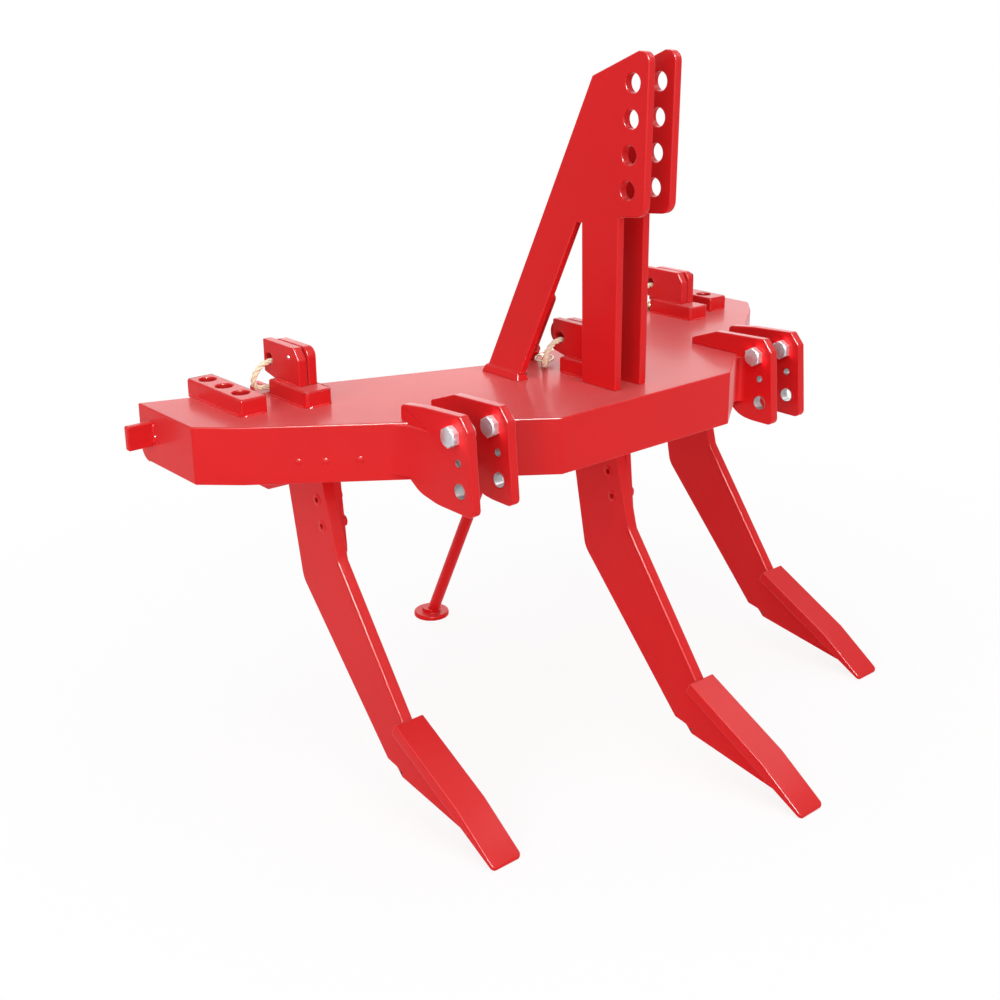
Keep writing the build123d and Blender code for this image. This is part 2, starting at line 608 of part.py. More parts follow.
# ---- parking stand ----
with BuildPart() as sleeve:
    with BuildSketch(on_stand(-SLEEVE_BELOW)):
        Circle(SLEEVE / 2)
        Circle(ROD / 2 + SLEEVE_ROOM, mode=Mode.SUBTRACT)
    extrude(amount=SLEEVE_BELOW + SLEEVE_ABOVE)
    with BuildSketch(across_stand(CLAMP_AT, ROD / 2 + 2)):
        Circle(CLAMP_FLATS / 2)
    extrude(amount=SLEEVE / 2 + CLAMP_BOSS - ROD / 2 - 2)
    with BuildSketch(across_stand(CLAMP_AT, 0)):
        Circle(CLAMP_BOLT / 2)
    extrude(amount=2 * SLEEVE, mode=Mode.SUBTRACT)
save(sleeve, "stand_sleeve")

with BuildPart() as clamp:
    with BuildSketch(across_stand(CLAMP_AT, ROD / 2 + SLEEVE_ROOM)):
        Circle(CLAMP_BOLT / 2)
    extrude(amount=SLEEVE / 2 + CLAMP_BOSS + 6 - ROD / 2 - SLEEVE_ROOM)
    with BuildSketch(across_stand(CLAMP_AT, SLEEVE / 2 + CLAMP_BOSS + 6)):
        RegularPolygon(CLAMP_FLATS / 2, 6, major_radius=False)
    extrude(amount=8)
save(clamp, "stand_clamp_bolt")

rod_top = (ROD_TOP_Z - FRAME_TOP) / math.cos(lean)
rod_low = -FRAME_TOP / math.cos(lean)
with BuildPart() as stand:
    with BuildSketch(on_stand(rod_low - 30)):
        Circle(ROD / 2)
    extrude(amount=rod_top - rod_low + 30)
    add(Pos(*(stand_foot + stand_axis * rod_top)) * Sphere(ROD / 2, mode=Mode.PRIVATE))
    add(box((-300, 300), (0, 2000), (-200, 0)), mode=Mode.SUBTRACT)
    foot_at = stand_foot + stand_axis * rod_low
    for width, high in ((PAD_WIDTH, PAD_THICK), (PAD_BOSS, PAD_THICK + PAD_BOSS_HIGH)):
        with BuildSketch(Plane.XY):
            with Locations((0, foot_at.Y)):
                Circle(width / 2)
        extrude(amount=high)
    rims = stand.edges().filter_by(GeomType.CIRCLE).group_by(Axis.Z)
    rim = [e for level in rims for e in level if abs(e.center().Z - PAD_THICK) < 0.01]
    fillet([e for e in rim if e.radius > PAD_BOSS / 2 + 1], PAD_ROUND)
save(stand, "stand_leg")

# ---- lanyards: a rope from each head's hole to a lynch pin that lies on the frame ----
LIE = FRAME_TOP + PIN_HEAD / 2
REST = HEAD_HOLE_Z - HEAD_HOLE / 2 + ROPE / 2 + 0.2  # the rope lies in the bottom of the hole
DROP = [(0, 140, REST), (-17, 140, REST), (-33, 141, 783), (-43, 143, 768)]  # out of the hole and down
ROUTES = {
    "left": DROP + [(-45, 146, 752), (-36, 149, 741), (-20, 149, LIE), (-4, 150, LIE)],
    "middle": DROP + [(-44, 146, 752), (-38, 153, 741), (-28, 163, LIE), (-18, 175, LIE)],
    "right": DROP + [(-45, 146, 752), (-36, 149, 741), (-20, 149, LIE), (-4, 150, LIE)],
}
for name, x, y, *_ in SHANKS:
    points = [Vector(x + px, y + py, pz) for px, py, pz in ROUTES[name]]
    radii = []
    for a, b, c in zip(points, points[1:], points[2:]):
        turn = math.radians((b - a).get_angle(c - b))
        radii.append(0.45 * min((b - a).length, (c - b).length) / math.tan(turn / 2))
    with BuildPart() as rope:
        with BuildLine() as path:
            FilletPolyline(*points, radius=radii)
        with BuildSketch(Plane(origin=points[0], z_dir=points[1] - points[0])):
            Circle(ROPE / 2)
        sweep()
    length = sum(edge.length for edge in path.edges())
    print(name, "rope length", round(length, 1), "radii", [round(r) for r in radii])
    print("  volume / (section x length)", round(rope.part.volume / (math.pi * ROPE**2 / 4 * length), 4))
    save(rope, f"lanyard_rope_{name}")

    heading = (points[-1] - points[-2]).normalized()
    across_rope = Plane(origin=points[-1], z_dir=heading)
    with BuildPart() as pin:
        with BuildSketch(across_rope):
            Circle(PIN_HEAD / 2)
        extrude(amount=PIN_HEAD_LENGTH)
        with BuildSketch(across_rope.offset(PIN_HEAD_LENGTH)):
            Circle(PIN / 2)
        extrude(amount=PIN_LENGTH)
        ring_at = points[-1] + heading * (PIN_HEAD_LENGTH / 2 + RING / 2)
        add(Pos(*ring_at) * Torus(RING / 2 - RING_WIRE / 2, RING_WIRE / 2, mode=Mode.PRIVATE))
    save(pin, f"lanyard_pin_{name}")
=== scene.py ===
"""A three-shank chisel plow on a pale studio floor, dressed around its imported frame.

Metres, +Z up, the plow travels towards -Y. The CAD plates keep their own shapes and get a rounded
arris and a sprayed enamel. Plates that are welded and ground flush are joined first, so that no seam
shows. Ropes, lynch pins, bolts, bore walls and weld beads are new surfaces worked out here.
"""

import json
import logging
from dataclasses import dataclass, field
from enum import Enum
from typing import Callable, Sequence

import bpy
import numpy as np
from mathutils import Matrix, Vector
from numpy.typing import NDArray

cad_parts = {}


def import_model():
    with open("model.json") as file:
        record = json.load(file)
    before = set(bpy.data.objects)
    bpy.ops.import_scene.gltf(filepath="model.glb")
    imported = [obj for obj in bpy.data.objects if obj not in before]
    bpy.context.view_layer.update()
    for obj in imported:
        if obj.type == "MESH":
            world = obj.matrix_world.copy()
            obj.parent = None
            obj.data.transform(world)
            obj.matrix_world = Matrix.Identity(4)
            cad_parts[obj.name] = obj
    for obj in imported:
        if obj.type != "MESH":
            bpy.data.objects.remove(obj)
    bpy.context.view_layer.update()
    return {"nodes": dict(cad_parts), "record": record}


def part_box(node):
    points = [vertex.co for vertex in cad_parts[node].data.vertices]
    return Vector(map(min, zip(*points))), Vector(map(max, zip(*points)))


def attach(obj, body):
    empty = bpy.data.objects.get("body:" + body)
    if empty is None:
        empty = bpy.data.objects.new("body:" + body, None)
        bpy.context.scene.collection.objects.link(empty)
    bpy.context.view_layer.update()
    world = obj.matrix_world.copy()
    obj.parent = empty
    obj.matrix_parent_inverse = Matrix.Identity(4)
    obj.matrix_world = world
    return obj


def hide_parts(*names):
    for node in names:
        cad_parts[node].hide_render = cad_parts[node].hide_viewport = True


LOG = logging.getLogger("plow")
Array = NDArray[np.float64]
Profile = Sequence[tuple[float, float]]
MM = 0.001
BACK = 48.0  # the source's y = 48 mm is the frame's y = 0


class Side(Enum):
    """Which end of the plow a piece is on, as the sign of its X."""

    LEFT = -1
    RIGHT = 1

    @property
    def word(self) -> str:
        """The side's name as the CAD nodes spell it."""
        return self.name.lower()


class Row(Enum):
    """The three shanks, with each one's own x and y in the source's millimetres."""

    LEFT = (-538.0, 256.0)
    MIDDLE = (0.0, 0.0)
    RIGHT = (538.0, 256.0)

    @property
    def word(self) -> str:
        """The row's name as the CAD nodes spell it."""
        return self.name.lower()

    def at(self, x: float, y: float, z: float) -> Array:
        """Turn millimetres from the shank's own place into metres in the frame."""
        return in_frame(self.value[0] + x, self.value[1] + y, z)


def in_frame(x: float, y: float, z: float) -> Array:
    """Turn the source's millimetres into metres in the frame."""
    return np.array([x, y - BACK, z]) * MM


def linear(code: str) -> tuple[float, float, float, float]:
    """Turn an sRGB hex colour into linear RGBA.

    Args:
        code: six hex digits.

    Returns:
        Linear red, green, blue and an alpha of 1.
    """
    srgb = np.array([int(code[i : i + 2], 16) for i in (0, 2, 4)]) / 255
    value = np.where(srgb <= 0.04045, srgb / 12.92, ((srgb + 0.055) / 1.055) ** 2.4)
    return (*value.tolist(), 1.0)


def add_node(
    tree: bpy.types.NodeTree, kind: str, settings: dict | None = None, **sockets: object
) -> bpy.types.Node:
    """Add a shader node with its settings and links.

    Args:
        tree: the node tree.
        kind: the node's type name.
        settings: attributes to set, such as an operation.
        **sockets: values or output sockets by input name, with underscores for blanks. A name
            such as i1 means input number 1.

    Returns:
        The new node.
    """
    node = tree.nodes.new(kind)
    for name, value in (settings or {}).items():
        setattr(node, name, value)
    for name, value in sockets.items():
        numbered = name[0] == "i" and name[1:].isdigit()
        socket = node.inputs[int(name[1:])] if numbered else node.inputs[name.replace("_", " ")]
        if isinstance(value, bpy.types.NodeSocket):
            tree.links.new(value, socket)
        else:
            socket.default_value = value
    return node


def new_material(name: str) -> tuple[bpy.types.Material, bpy.types.NodeTree]:
    """Make an empty node material.

    Args:
        name: the finish's name.

    Returns:
        The material and its emptied node tree.
    """
    material = bpy.data.materials.new(name)
    material.use_nodes = True
    material.node_tree.nodes.clear()
    return material, material.node_tree


def blotched(tree: bpy.types.NodeTree, size: float, a: str, b: str) -> bpy.types.Node:
    """Mix two colours by a soft noise in the piece's own space.

    Args:
        tree: the node tree.
        size: the blotch size in metres.
        a: the first sRGB hex colour.
        b: the second.

    Returns:
        The mix node, whose output number 2 is the colour.
    """
    place = add_node(tree, "ShaderNodeTexCoord").outputs["Object"]
    noise = add_node(tree, "ShaderNodeTexNoise", Vector=place, Scale=1 / size, Detail=3.0)
    return add_node(
        tree, "ShaderNodeMix", {"data_type": "RGBA"},
        i0=noise.outputs["Fac"], i6=linear(a), i7=linear(b),
    )


# ---- finishes ----
@dataclass(frozen=True)
class Enamel:
    """Red alkyd enamel sprayed on blasted plate: half gloss, and paler where it is seen aslant."""

    name: str = "red_alkyd_enamel"
    colour: str = "D60A12"
    shade: str = "C8080F"  # where the coat lies thinner
    mirror: str = "FFC4BE"  # the pigment tints what the film mirrors straight on
    drift: float = 200 * MM  # how slowly the colour changes
    peel: float = 6 * MM  # real orange peel is about 2 mm; coarser, so that it shows
    peel_deep: float = 0.2 * MM
    cloud: float = 500 / 9 * MM  # patches of a duller or a brighter film
    roughness: float = 0.52
    duller: float = 0.05  # how far the patches' roughness strays upwards
    brighter: float = 0.04  # and downwards

    def build(self) -> bpy.types.Material:
        """Make the material.

        Returns:
            Enamel whose colour and gloss drift slowly, under a thin clear film.
        """
        material, tree = new_material(self.name)
        place = add_node(tree, "ShaderNodeTexCoord").outputs["Object"]
        colour = blotched(tree, self.drift, self.colour, self.shade)
        peel = add_node(tree, "ShaderNodeTexNoise", Vector=place, Scale=1 / self.peel, Detail=1.0)
        bump = add_node(
            tree, "ShaderNodeBump", Height=peel.outputs["Fac"], Strength=0.05, Distance=self.peel_deep
        )
        cloud = add_node(tree, "ShaderNodeTexNoise", Vector=place, Scale=1 / self.cloud, Detail=2.0)
        rough = add_node(
            tree, "ShaderNodeMapRange", Value=cloud.outputs["Fac"],
            To_Min=self.roughness - self.brighter, To_Max=self.roughness + self.duller,
        )
        shader = add_node(
            tree, "ShaderNodeBsdfPrincipled", Base_Color=colour.outputs[2], Roughness=rough.outputs[0],
            Normal=bump.outputs[0], Specular_IOR_Level=0.1, Specular_Tint=linear(self.mirror),
            Coat_Weight=0.26, Coat_Roughness=0.18, Coat_IOR=1.4,  # thin clear film: soft edge lights
            Sheen_Weight=0.5, Sheen_Roughness=0.3,  # and a pale haze where it is seen aslant
        )
        add_node(tree, "ShaderNodeOutputMaterial", Surface=shader.outputs[0])
        return material


@dataclass(frozen=True)
class Plating:
    """Small steel parts, zinc plated, machined bare or oiled: cloudy, with a soft gloss."""

    name: str
    colour: str
    tint: str
    roughness: float = 0.34
    metallic: float = 0.8  # the film on the metal is a little milky
    cell: float = 9 * MM  # blotches of the film
    grain: float = 10 / 9 * MM  # real grain is too fine to show, so this is far coarser
    grain_deep: float = 0.1 * MM

    def build(self) -> bpy.types.Material:
        """Make the material.

        Returns:
            A metal whose tint drifts in small blotches, with a fine grain.
        """
        material, tree = new_material(self.name)
        place = add_node(tree, "ShaderNodeTexCoord").outputs["Object"]
        colour = blotched(tree, self.cell, self.colour, self.tint)
        grain = add_node(tree, "ShaderNodeTexNoise", Vector=place, Scale=1 / self.grain, Detail=2.0)
        bump = add_node(
            tree, "ShaderNodeBump", Height=grain.outputs["Fac"], Strength=0.08, Distance=self.grain_deep
        )
        shader = add_node(
            tree, "ShaderNodeBsdfPrincipled", Base_Color=colour.outputs[2], Metallic=self.metallic,
            Roughness=self.roughness, Normal=bump.outputs[0],
        )
        add_node(tree, "ShaderNodeOutputMaterial", Surface=shader.outputs[0])
        return material


@dataclass(frozen=True)
class Hemp:
    """Three-strand natural fibre rope: matt, fuzzy and straw coloured."""

    name: str = "hemp_rope"
    colour: str = "F8F0D2"
    # painted shade: the colour of the hollows between the yarns
    shade: str = "CDB882"
    yarn: float = 1.2 * MM
    fuzz: float = 0.4 * MM

    def build(self) -> bpy.types.Material:
        """Make the material.

        Returns:
            Matt fibre, with painted shade: darker where the yarn bump lies low, between its yarns.
        """
        material, tree = new_material(self.name)
        place = add_node(tree, "ShaderNodeTexCoord").outputs["Object"]
        yarn = add_node(
            tree, "ShaderNodeTexNoise", Vector=place, Scale=1 / self.yarn, Detail=4.0, Roughness=0.7
        )
        # painted shade: the bump's low places between the yarns take the shade colour
        colour = add_node(
            tree, "ShaderNodeMix", {"data_type": "RGBA"}, i0=yarn.outputs["Fac"],
            i6=linear(self.shade), i7=linear(self.colour),
        )
        bump = add_node(
            tree, "ShaderNodeBump", Height=yarn.outputs["Fac"], Strength=0.6, Distance=self.fuzz
        )
        shader = add_node(
            tree, "ShaderNodeBsdfPrincipled", Base_Color=colour.outputs[2], Roughness=0.9,
            Sheen_Weight=0.3, Normal=bump.outputs[0],
        )
        add_node(tree, "ShaderNodeOutputMaterial", Surface=shader.outputs[0])
        return material


@dataclass(frozen=True)
class Finishes:
    """The plow's finishes, built once."""

    enamel: bpy.types.Material
    zinc: bpy.types.Material
    brass: bpy.types.Material
    bare: bpy.types.Material
    hemp: bpy.types.Material
    # near-black steel for the heel pins, partly painted shade of the holes they sit in
    dark_pin_and_hole_shade: bpy.types.Material


# ---- surfaces ----
def grid_faces(rows: int, columns: int) -> NDArray[np.int64]:
    """Number the quads of a grid of points whose rows are closed rings.

    Args:
        rows: how many rings.
        columns: how many points in a ring.

    Returns:
        One line of four point numbers for each quad.
    """
    r = np.arange(rows - 1)[:, None]
    c = np.arange(columns)[None, :]
    c1 = (c + 1) % columns
    quads = [r * columns + c, r * columns + c1, (r + 1) * columns + c1, (r + 1) * columns + c]
    return np.stack(np.broadcast_arrays(*quads), -1).reshape(-1, 4)


def surface(grids: Sequence[Array], ring_shut: bool = False) -> tuple[Array, list[list[int]]]:
    """Join grids whose rows are rings into one set of points and faces.

    Args:
        grids: arrays of rows x ring points x 3, each row a closed ring, counter-clockwise about
            the way the rows run.
        ring_shut: the last row meets the first, as in a wire ring; otherwise each first and last
            row is closed with one face.

    Returns:
        Points and faces.
    """
    points, faces, first = [], [], 0
    for grid in grids:
        rows, ring, _ = grid.shape
        faces += (grid_faces(rows, ring) + first).tolist()
        if ring_shut:
            c = np.arange(ring)
            last = first + (rows - 1) * ring
            c1 = (c + 1) % ring
            faces += np.stack([last + c, last + c1, first + c1, first + c], -1).tolist()
        else:
            faces.append((np.arange(ring)[::-1] + first).tolist())
            faces.append((np.arange(ring) + first + (rows - 1) * ring).tolist())
        points.append(grid.reshape(-1, 3))
        first += rows * ring
    return np.concatenate(points), faces


def together(parts: Sequence[tuple[Array, list[list[int]]]]) -> tuple[Array, list[list[int]]]:
    """Put several sets of points and faces into one.

    Args:
        parts: pairs as surface() returns them.

    Returns:
        Points and faces.
    """
    starts = np.cumsum([0] + [len(points) for points, _ in parts])
    faces = [
        [i + int(start) for i in face] for (_, some), start in zip(parts, starts) for face in some
    ]
    return np.concatenate([points for points, _ in parts]), faces


def make_piece(
    name: str, shape: tuple[Array, list[list[int]]], finish: bpy.types.Material,
    sharp: float = 35.0,
) -> bpy.types.Object:
    """Put a mesh in the scene, with its place in its points.

    Args:
        name: the piece's name.
        shape: its points in metres, and its faces.
        finish: its material.
        sharp: edges sharper than this many degrees stay crisp.

    Returns:
        The new object.
    """
    points, faces = shape
    mesh = bpy.data.meshes.new(name)
    mesh.from_pydata(points.tolist(), [], faces)
    mesh.validate()
    mesh.materials.append(finish)
    mesh.shade_smooth()
    mesh.set_sharp_from_angle(angle=np.radians(sharp))
    piece = bpy.data.objects.new(name, mesh)
    bpy.context.scene.collection.objects.link(piece)
    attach(piece, "plow")
    LOG.info("made %s: %d points", name, len(points))
    return piece


def turned(
    profile: Profile, ring: int = 48, section: Callable[[Array, Array], Array] | None = None
) -> Array:
    """Turn a profile about the X axis.

    The point at row u and angle v is (x(u), r cos v, r sin v). A section makes r depend on v too.

    Args:
        profile: (x, radius) pairs along the axis, in millimetres.
        ring: points in each ring.
        section: maps (angle, radius) grids to new radii, such as a hexagon's.

    Returns:
        A grid of rows x ring x 3, in metres.
    """
    line = np.asarray(profile, float) * MM
    angle = np.linspace(0, 2 * np.pi, ring, endpoint=False)[None, :]
    radius = np.broadcast_to(line[:, 1:2], (len(line), ring))
    if section is not None:
        radius = section(angle, radius)
    along = np.broadcast_to(line[:, :1], radius.shape)
    return np.stack([along, radius * np.cos(angle), radius * np.sin(angle)], -1)


def hexagon(across_flats: float) -> Callable[[Array, Array], Array]:
    """Cut a round section to a hexagon: r = min(radius, flats / 2 / cos(angle from a flat)).

    Args:
        across_flats: width over the flats in millimetres.

    Returns:
        A section for turned().
    """

    def cut(angle: Array, radius: Array) -> Array:
        """Take the hexagon's radius, or the round profile's where that is smaller."""
        off = np.mod(angle + np.pi / 6, np.pi / 3) - np.pi / 6
        return np.minimum(radius, across_flats * MM / 2 / np.cos(off))

    return cut


def corner_of(across_flats: float) -> float:
    """Give the radius to a hexagon's corner, flats / 2 / cos 30."""
    return across_flats / 2 / np.cos(np.pi / 6)


def placed(grid: Array, at: Sequence[float], along: Sequence[float]) -> Array:
    """Carry a grid made about the X axis to a place and direction.

    Args:
        grid: points about the X axis.
        at: where its x = 0 goes.
        along: where +X points.

    Returns:
        The moved grid.
    """
    x = np.asarray(along, float)
    x = x / np.linalg.norm(x)
    up = np.array([0.0, 0.0, 1.0]) if abs(x[2]) < 0.9 else np.array([0.0, 1.0, 0.0])
    y = np.cross(up, x)
    y = y / np.linalg.norm(y)
    turn = np.stack([x, y, np.cross(x, y)])
    return grid @ turn + np.asarray(at, float)


def across(path: Array, up: Sequence[float]) -> tuple[Array, Array]:
    """Find two directions across a path: n = t x up and b = t x n, where t is the way on.

    Args:
        path: points in order.
        up: a direction that the path is never along.

    Returns:
        Unit n and b at each point.
    """
    t = np.gradient(path, axis=0)
    t /= np.linalg.norm(t, axis=1, keepdims=True)
    n = np.cross(t, np.asarray(up, float))
    n /= np.linalg.norm(n, axis=1, keepdims=True)
    return n, np.cross(t, n)


def carried(
    path: Array, radius: float | Array, ring: int = 12, up: Sequence[float] = (0, 1, 0)
) -> Array:
    """Carry a circle along a path: the ring at p is p + r (n cos v + b sin v), n and b by across().

    Args:
        path: points in order.
        radius: one radius, or one for each point.
        ring: points in each ring.
        up: a direction that the path is never along.

    Returns:
        A grid of rows x ring x 3.
    """
    n, b = across(path, up)
    v = np.linspace(0, 2 * np.pi, ring, endpoint=False)[None, :, None]
    r = np.broadcast_to(np.asarray(radius, float), len(path))[:, None, None]
    return path[:, None] + r * (n[:, None] * np.cos(v) + b[:, None] * np.sin(v))


# ---- CAD plates ----
@dataclass
class Plates:
    """The plow's steel plates, with their edges broken by grinding and then sprayed."""

    finishes: Finishes
    nodes: dict[str, bpy.types.Object]
    arris: float = 3.0 * MM
    fine_arris: float = 1.2 * MM  # on the stand's small parts
    doubles: float = 0.01 * MM  # CAD triangles share no points; those that meet lie closer
    slivers: float = 0.08 * MM  # a union leaves triangles narrower than this
    one_plane: float = 0.5  # faces that turn by fewer degrees are one
    crisp: float = 28.0  # edges that turn by more degrees are rounded
    shortest: float = 9 * MM  # marked edges are longer than this
    upright: float = 7 * MM  # or rise by more than this

    def merge(self, piece: bpy.types.Object, gap: float) -> None:
        """Merge a piece's close points and the triangles of each flat face.

        Args:
            piece: the object.
            gap: how close the points lie.
        """
        piece.modifiers.new("weld", "WELD").merge_threshold = gap
        flat = piece.modifiers.new("flat", "DECIMATE")
        flat.decimate_type = "DISSOLVE"
        flat.angle_limit = np.radians(self.one_plane)

    def edge(self, piece: bpy.types.Object, width: float, marked: bool = False) -> None:
        """Round a piece's sharp edges and keep its flat faces flat.

        Args:
            piece: the object, with its points merged.
            width: the rounding's width.
            marked: round its marked edges only.
        """
        edge = piece.modifiers.new("arris", "BEVEL")
        edge.width = width
        edge.segments = 3
        edge.limit_method = "WEIGHT" if marked else "ANGLE"
        edge.angle_limit = np.radians(self.crisp)
        edge.use_clamp_overlap = False
        shading = piece.modifiers.new("shading", "WEIGHTED_NORMAL")
        shading.weight = 100
        shading.keep_sharp = False

    def mark(self, mesh: bpy.types.Mesh) -> None:
        """Mark the crisp edges outside small arcs, where a rounding would run into itself.

        An edge is crisp where the dot product of its two faces' normals is below cos(crisp).

        Args:
            mesh: a closed mesh.
        """
        loops, edges, faces = len(mesh.loops), len(mesh.edges), len(mesh.polygons)
        edge_of, face_start = np.zeros(loops, int), np.zeros(faces, int)
        mesh.loops.foreach_get("edge_index", edge_of)
        mesh.polygons.foreach_get("loop_start", face_start)
        face_of = np.searchsorted(face_start, np.arange(loops), side="right") - 1
        order = np.argsort(edge_of, kind="stable")
        pairs = face_of[order].reshape(edges, 2)
        normal = np.zeros(faces * 3)
        mesh.polygons.foreach_get("normal", normal)
        normal = normal.reshape(-1, 3)
        ends, points = np.zeros(edges * 2, int), np.zeros(len(mesh.vertices) * 3)
        mesh.edges.foreach_get("vertices", ends)
        mesh.vertices.foreach_get("co", points)
        ends, points = ends.reshape(-1, 2), points.reshape(-1, 3)
        dot = np.sum(normal[pairs[:, 0]] * normal[pairs[:, 1]], axis=1)
        length = np.linalg.norm(points[ends[:, 0]] - points[ends[:, 1]], axis=1)
        rise = np.ptp(points[ends][:, :, 2], axis=1)
        long = (length > self.shortest) | (rise > self.upright)
        weight = ((dot < np.cos(np.radians(self.crisp))) & long).astype(np.float32)
        mesh.attributes.new("bevel_weight_edge", "FLOAT", "EDGE").data.foreach_set("value", weight)

    def joined(self, name: str, *parts: str, marked: bool = False) -> bpy.types.Object:
        """Join touching CAD nodes into one piece, as plates welded and ground flush are.

        Args:
            name: the piece's name.
            *parts: the nodes that it stands for.
            marked: leave the small arcs of its outline sharp.

        Returns:
            The new piece.
        """
        copies = []
        for part in parts:
            copy = bpy.data.objects.new(f"{name}_{part}", self.nodes[part].data.copy())
            bpy.context.scene.collection.objects.link(copy)
            copy.modifiers.new("weld", "WELD").merge_threshold = self.doubles
            copies.append(copy)
        for other in copies[1:]:
            union = copies[0].modifiers.new(other.name, "BOOLEAN")
            union.operation = "UNION"
            union.solver = "EXACT"
            union.object = other
        self.merge(copies[0], self.slivers)
        done = copies[0].evaluated_get(bpy.context.evaluated_depsgraph_get())
        mesh = bpy.data.meshes.new_from_object(done)
        for copy in copies:
            spare = copy.data
            bpy.data.objects.remove(copy)
            bpy.data.meshes.remove(spare)
        mesh.materials.clear()
        mesh.materials.append(self.finishes.enamel)
        mesh.shade_smooth()
        if marked:
            self.mark(mesh)
        piece = bpy.data.objects.new(name, mesh)
        bpy.context.scene.collection.objects.link(piece)
        self.edge(piece, self.arris, marked)
        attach(piece, "plow")
        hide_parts(*parts)
        LOG.info("joined %s: %d points", name, len(mesh.vertices))
        return piece

    def build(self) -> None:
        """Join the flush plates, then give every other plate its edges and enamel."""
        box = ("frame_lid", "frame_tray", "frame_end_left", "frame_end_right")
        self.joined("frame_box", *box, marked=True)
        for row in Row:
            self.joined(f"shank_and_foot_{row.word}", f"shank_{row.word}", f"foot_{row.word}")
        for name, node in self.nodes.items():
            if node.hide_render or "bolt" in name or "lanyard" in name:
                continue
            node.data.materials.clear()
            node.data.materials.append(self.finishes.enamel)
            if "gusset" not in name:  # its ends run out to nothing
                self.merge(node, self.doubles)
                self.edge(node, self.fine_arris if name.startswith("stand") else self.arris)
            LOG.info("dressed %s", name)


# ---- fasteners ----
class Place(Enum):
    """Which of a pair a fastener is, as the CAD nodes spell it."""

    OUTER = "outer"
    INNER = "inner"
    UPPER = "upper"
    LOWER = "lower"


@dataclass(frozen=True)
class HexBolt:
    """A plated hexagon bolt through a hitch plate, with a washer and a nut, in millimetres."""

    shank: float = 24.0
    flats: float = 36.0
    head: float = 15.0
    washer: float = 2.6
    washer_out: float = 3.4  # the washer stands out this far past the flats
    washer_round: float = 0.4
    tail: float = 4.0  # the thread shows this far past the nut
    nut: float = 19.0  # with its washer
    chamfer: float = 2.6
    face: float = 0.8  # the flat face of a head is this much smaller than its flats
    ledge: float = 1.2  # its stamped rim
    stamp: float = 0.5  # the rim's height
    hair: float = 0.05  # rounds lie this far outside, so that the hexagon alone cuts them
    deburr: tuple[float, float] = (0.4, 0.6)  # under the head, and on the nut's near face
    bury: float = 3.0  # the shank's ends lie this deep in head and nut
    lip: float = 0.5  # the washer's bevel along the axis

    def hexagon(self, start: float, end: float, near: float, far: float) -> Array:
        """Turn a hexagon with a round chamfer at each end.

        Args:
            start: its first end along the axis.
            end: its other end.
            near: chamfer at the first end.
            far: chamfer at the other end.

        Returns:
            A grid about the X axis.
        """
        corner = corner_of(self.flats) + self.hair
        disc = self.flats / 2 - self.face
        line = [(start, disc - 2 * self.ledge), (start + self.stamp, disc - self.ledge)]
        line += [(start + self.stamp + self.hair, disc), (start + near, corner)]
        line += [(end - far, corner), (end, disc)]
        return turned(line, 60, hexagon(self.flats))

    def build(self, side: Side, place: Place, finish: bpy.types.Material) -> None:
        """Make the bolt in its CAD node's place.

        Args:
            side: the plow's side.
            place: which plate of the pair.
            finish: the plating.
        """
        node = f"hitch_bolt_{side.word}_{place.value}"
        low, high = (np.array(v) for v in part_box(node))
        length = (high[0] - low[0]) / MM
        nut, radius = length - self.nut - self.tail, self.shank / 2
        face, rim = nut + self.washer, self.flats / 2 + self.washer_out
        small = rim - self.washer_round
        washer = [(nut, small), (nut + self.lip, rim), (face - self.lip, rim), (face, small)]
        grids = [
            self.hexagon(0, self.head, self.chamfer, self.deburr[0]),
            turned([(self.head - self.bury, radius), (nut + self.bury, radius)], 32),
            turned(washer, 48),
            self.hexagon(face, length - self.tail, self.deburr[1], self.chamfer),
            screw(length - 2 * self.tail, length, radius),
        ]
        middle = (low + high) / 2
        shape = surface([placed(g, (low[0], middle[1], middle[2]), (1, 0, 0)) for g in grids])
        bolt = make_piece(f"hex_bolt_{side.word}_{place.value}", shape, finish, 24)
        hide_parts(node)


@dataclass(frozen=True)
class ButtonBolt:
    """A painted socket button through shank and bracket, and its nut, in millimetres."""

    shank: float = 16.0
    under: float = 7.0  # where the button's underside lies
    button: Profile = ((6.3, 11.6), (7.0, 12.5))  # its edge
    socket: Profile = ((13.0, 0.1), (13.0, 5.6), (5.7, 5.6), (5.5, 6.0), (5.5, 8.6))
    flats: float = 24.0
    nut: float = 14.0
    nut_face: float = 11.2
    tail: float = 5.0  # thread past the nut's full hexagon
    bevel: float = 2.0

    def build(self, row: Row, place: Place, finish: bpy.types.Material) -> None:
        """Make the bolt in its CAD node's place.

        Args:
            row: the shank.
            place: which bolt of the shank.
            finish: the enamel.
        """
        node = f"shank_bolt_{place.value}_{row.word}"
        low, high = (np.array(v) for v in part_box(node))
        length = (high[0] - low[0]) / MM
        nut, radius, corner = length - self.nut, self.shank / 2, corner_of(self.flats)
        body = [(self.under + 0.1, radius), (nut + 1, radius)]
        sides = [(nut, corner), (length - self.tail, corner)]
        sides += [(length - self.tail + self.bevel, self.nut_face)]
        grids = [
            turned([*self.socket, *self.button, *body], 40),
            turned(sides, 48, hexagon(self.flats)),
            screw(length - self.tail, length, radius),
        ]
        middle = (low + high) / 2
        shape = surface([placed(g, (low[0], middle[1], middle[2]), (1, 0, 0)) for g in grids])
        bolt = make_piece(f"button_bolt_{place.value}_{row.word}", shape, finish)
        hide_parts(node)


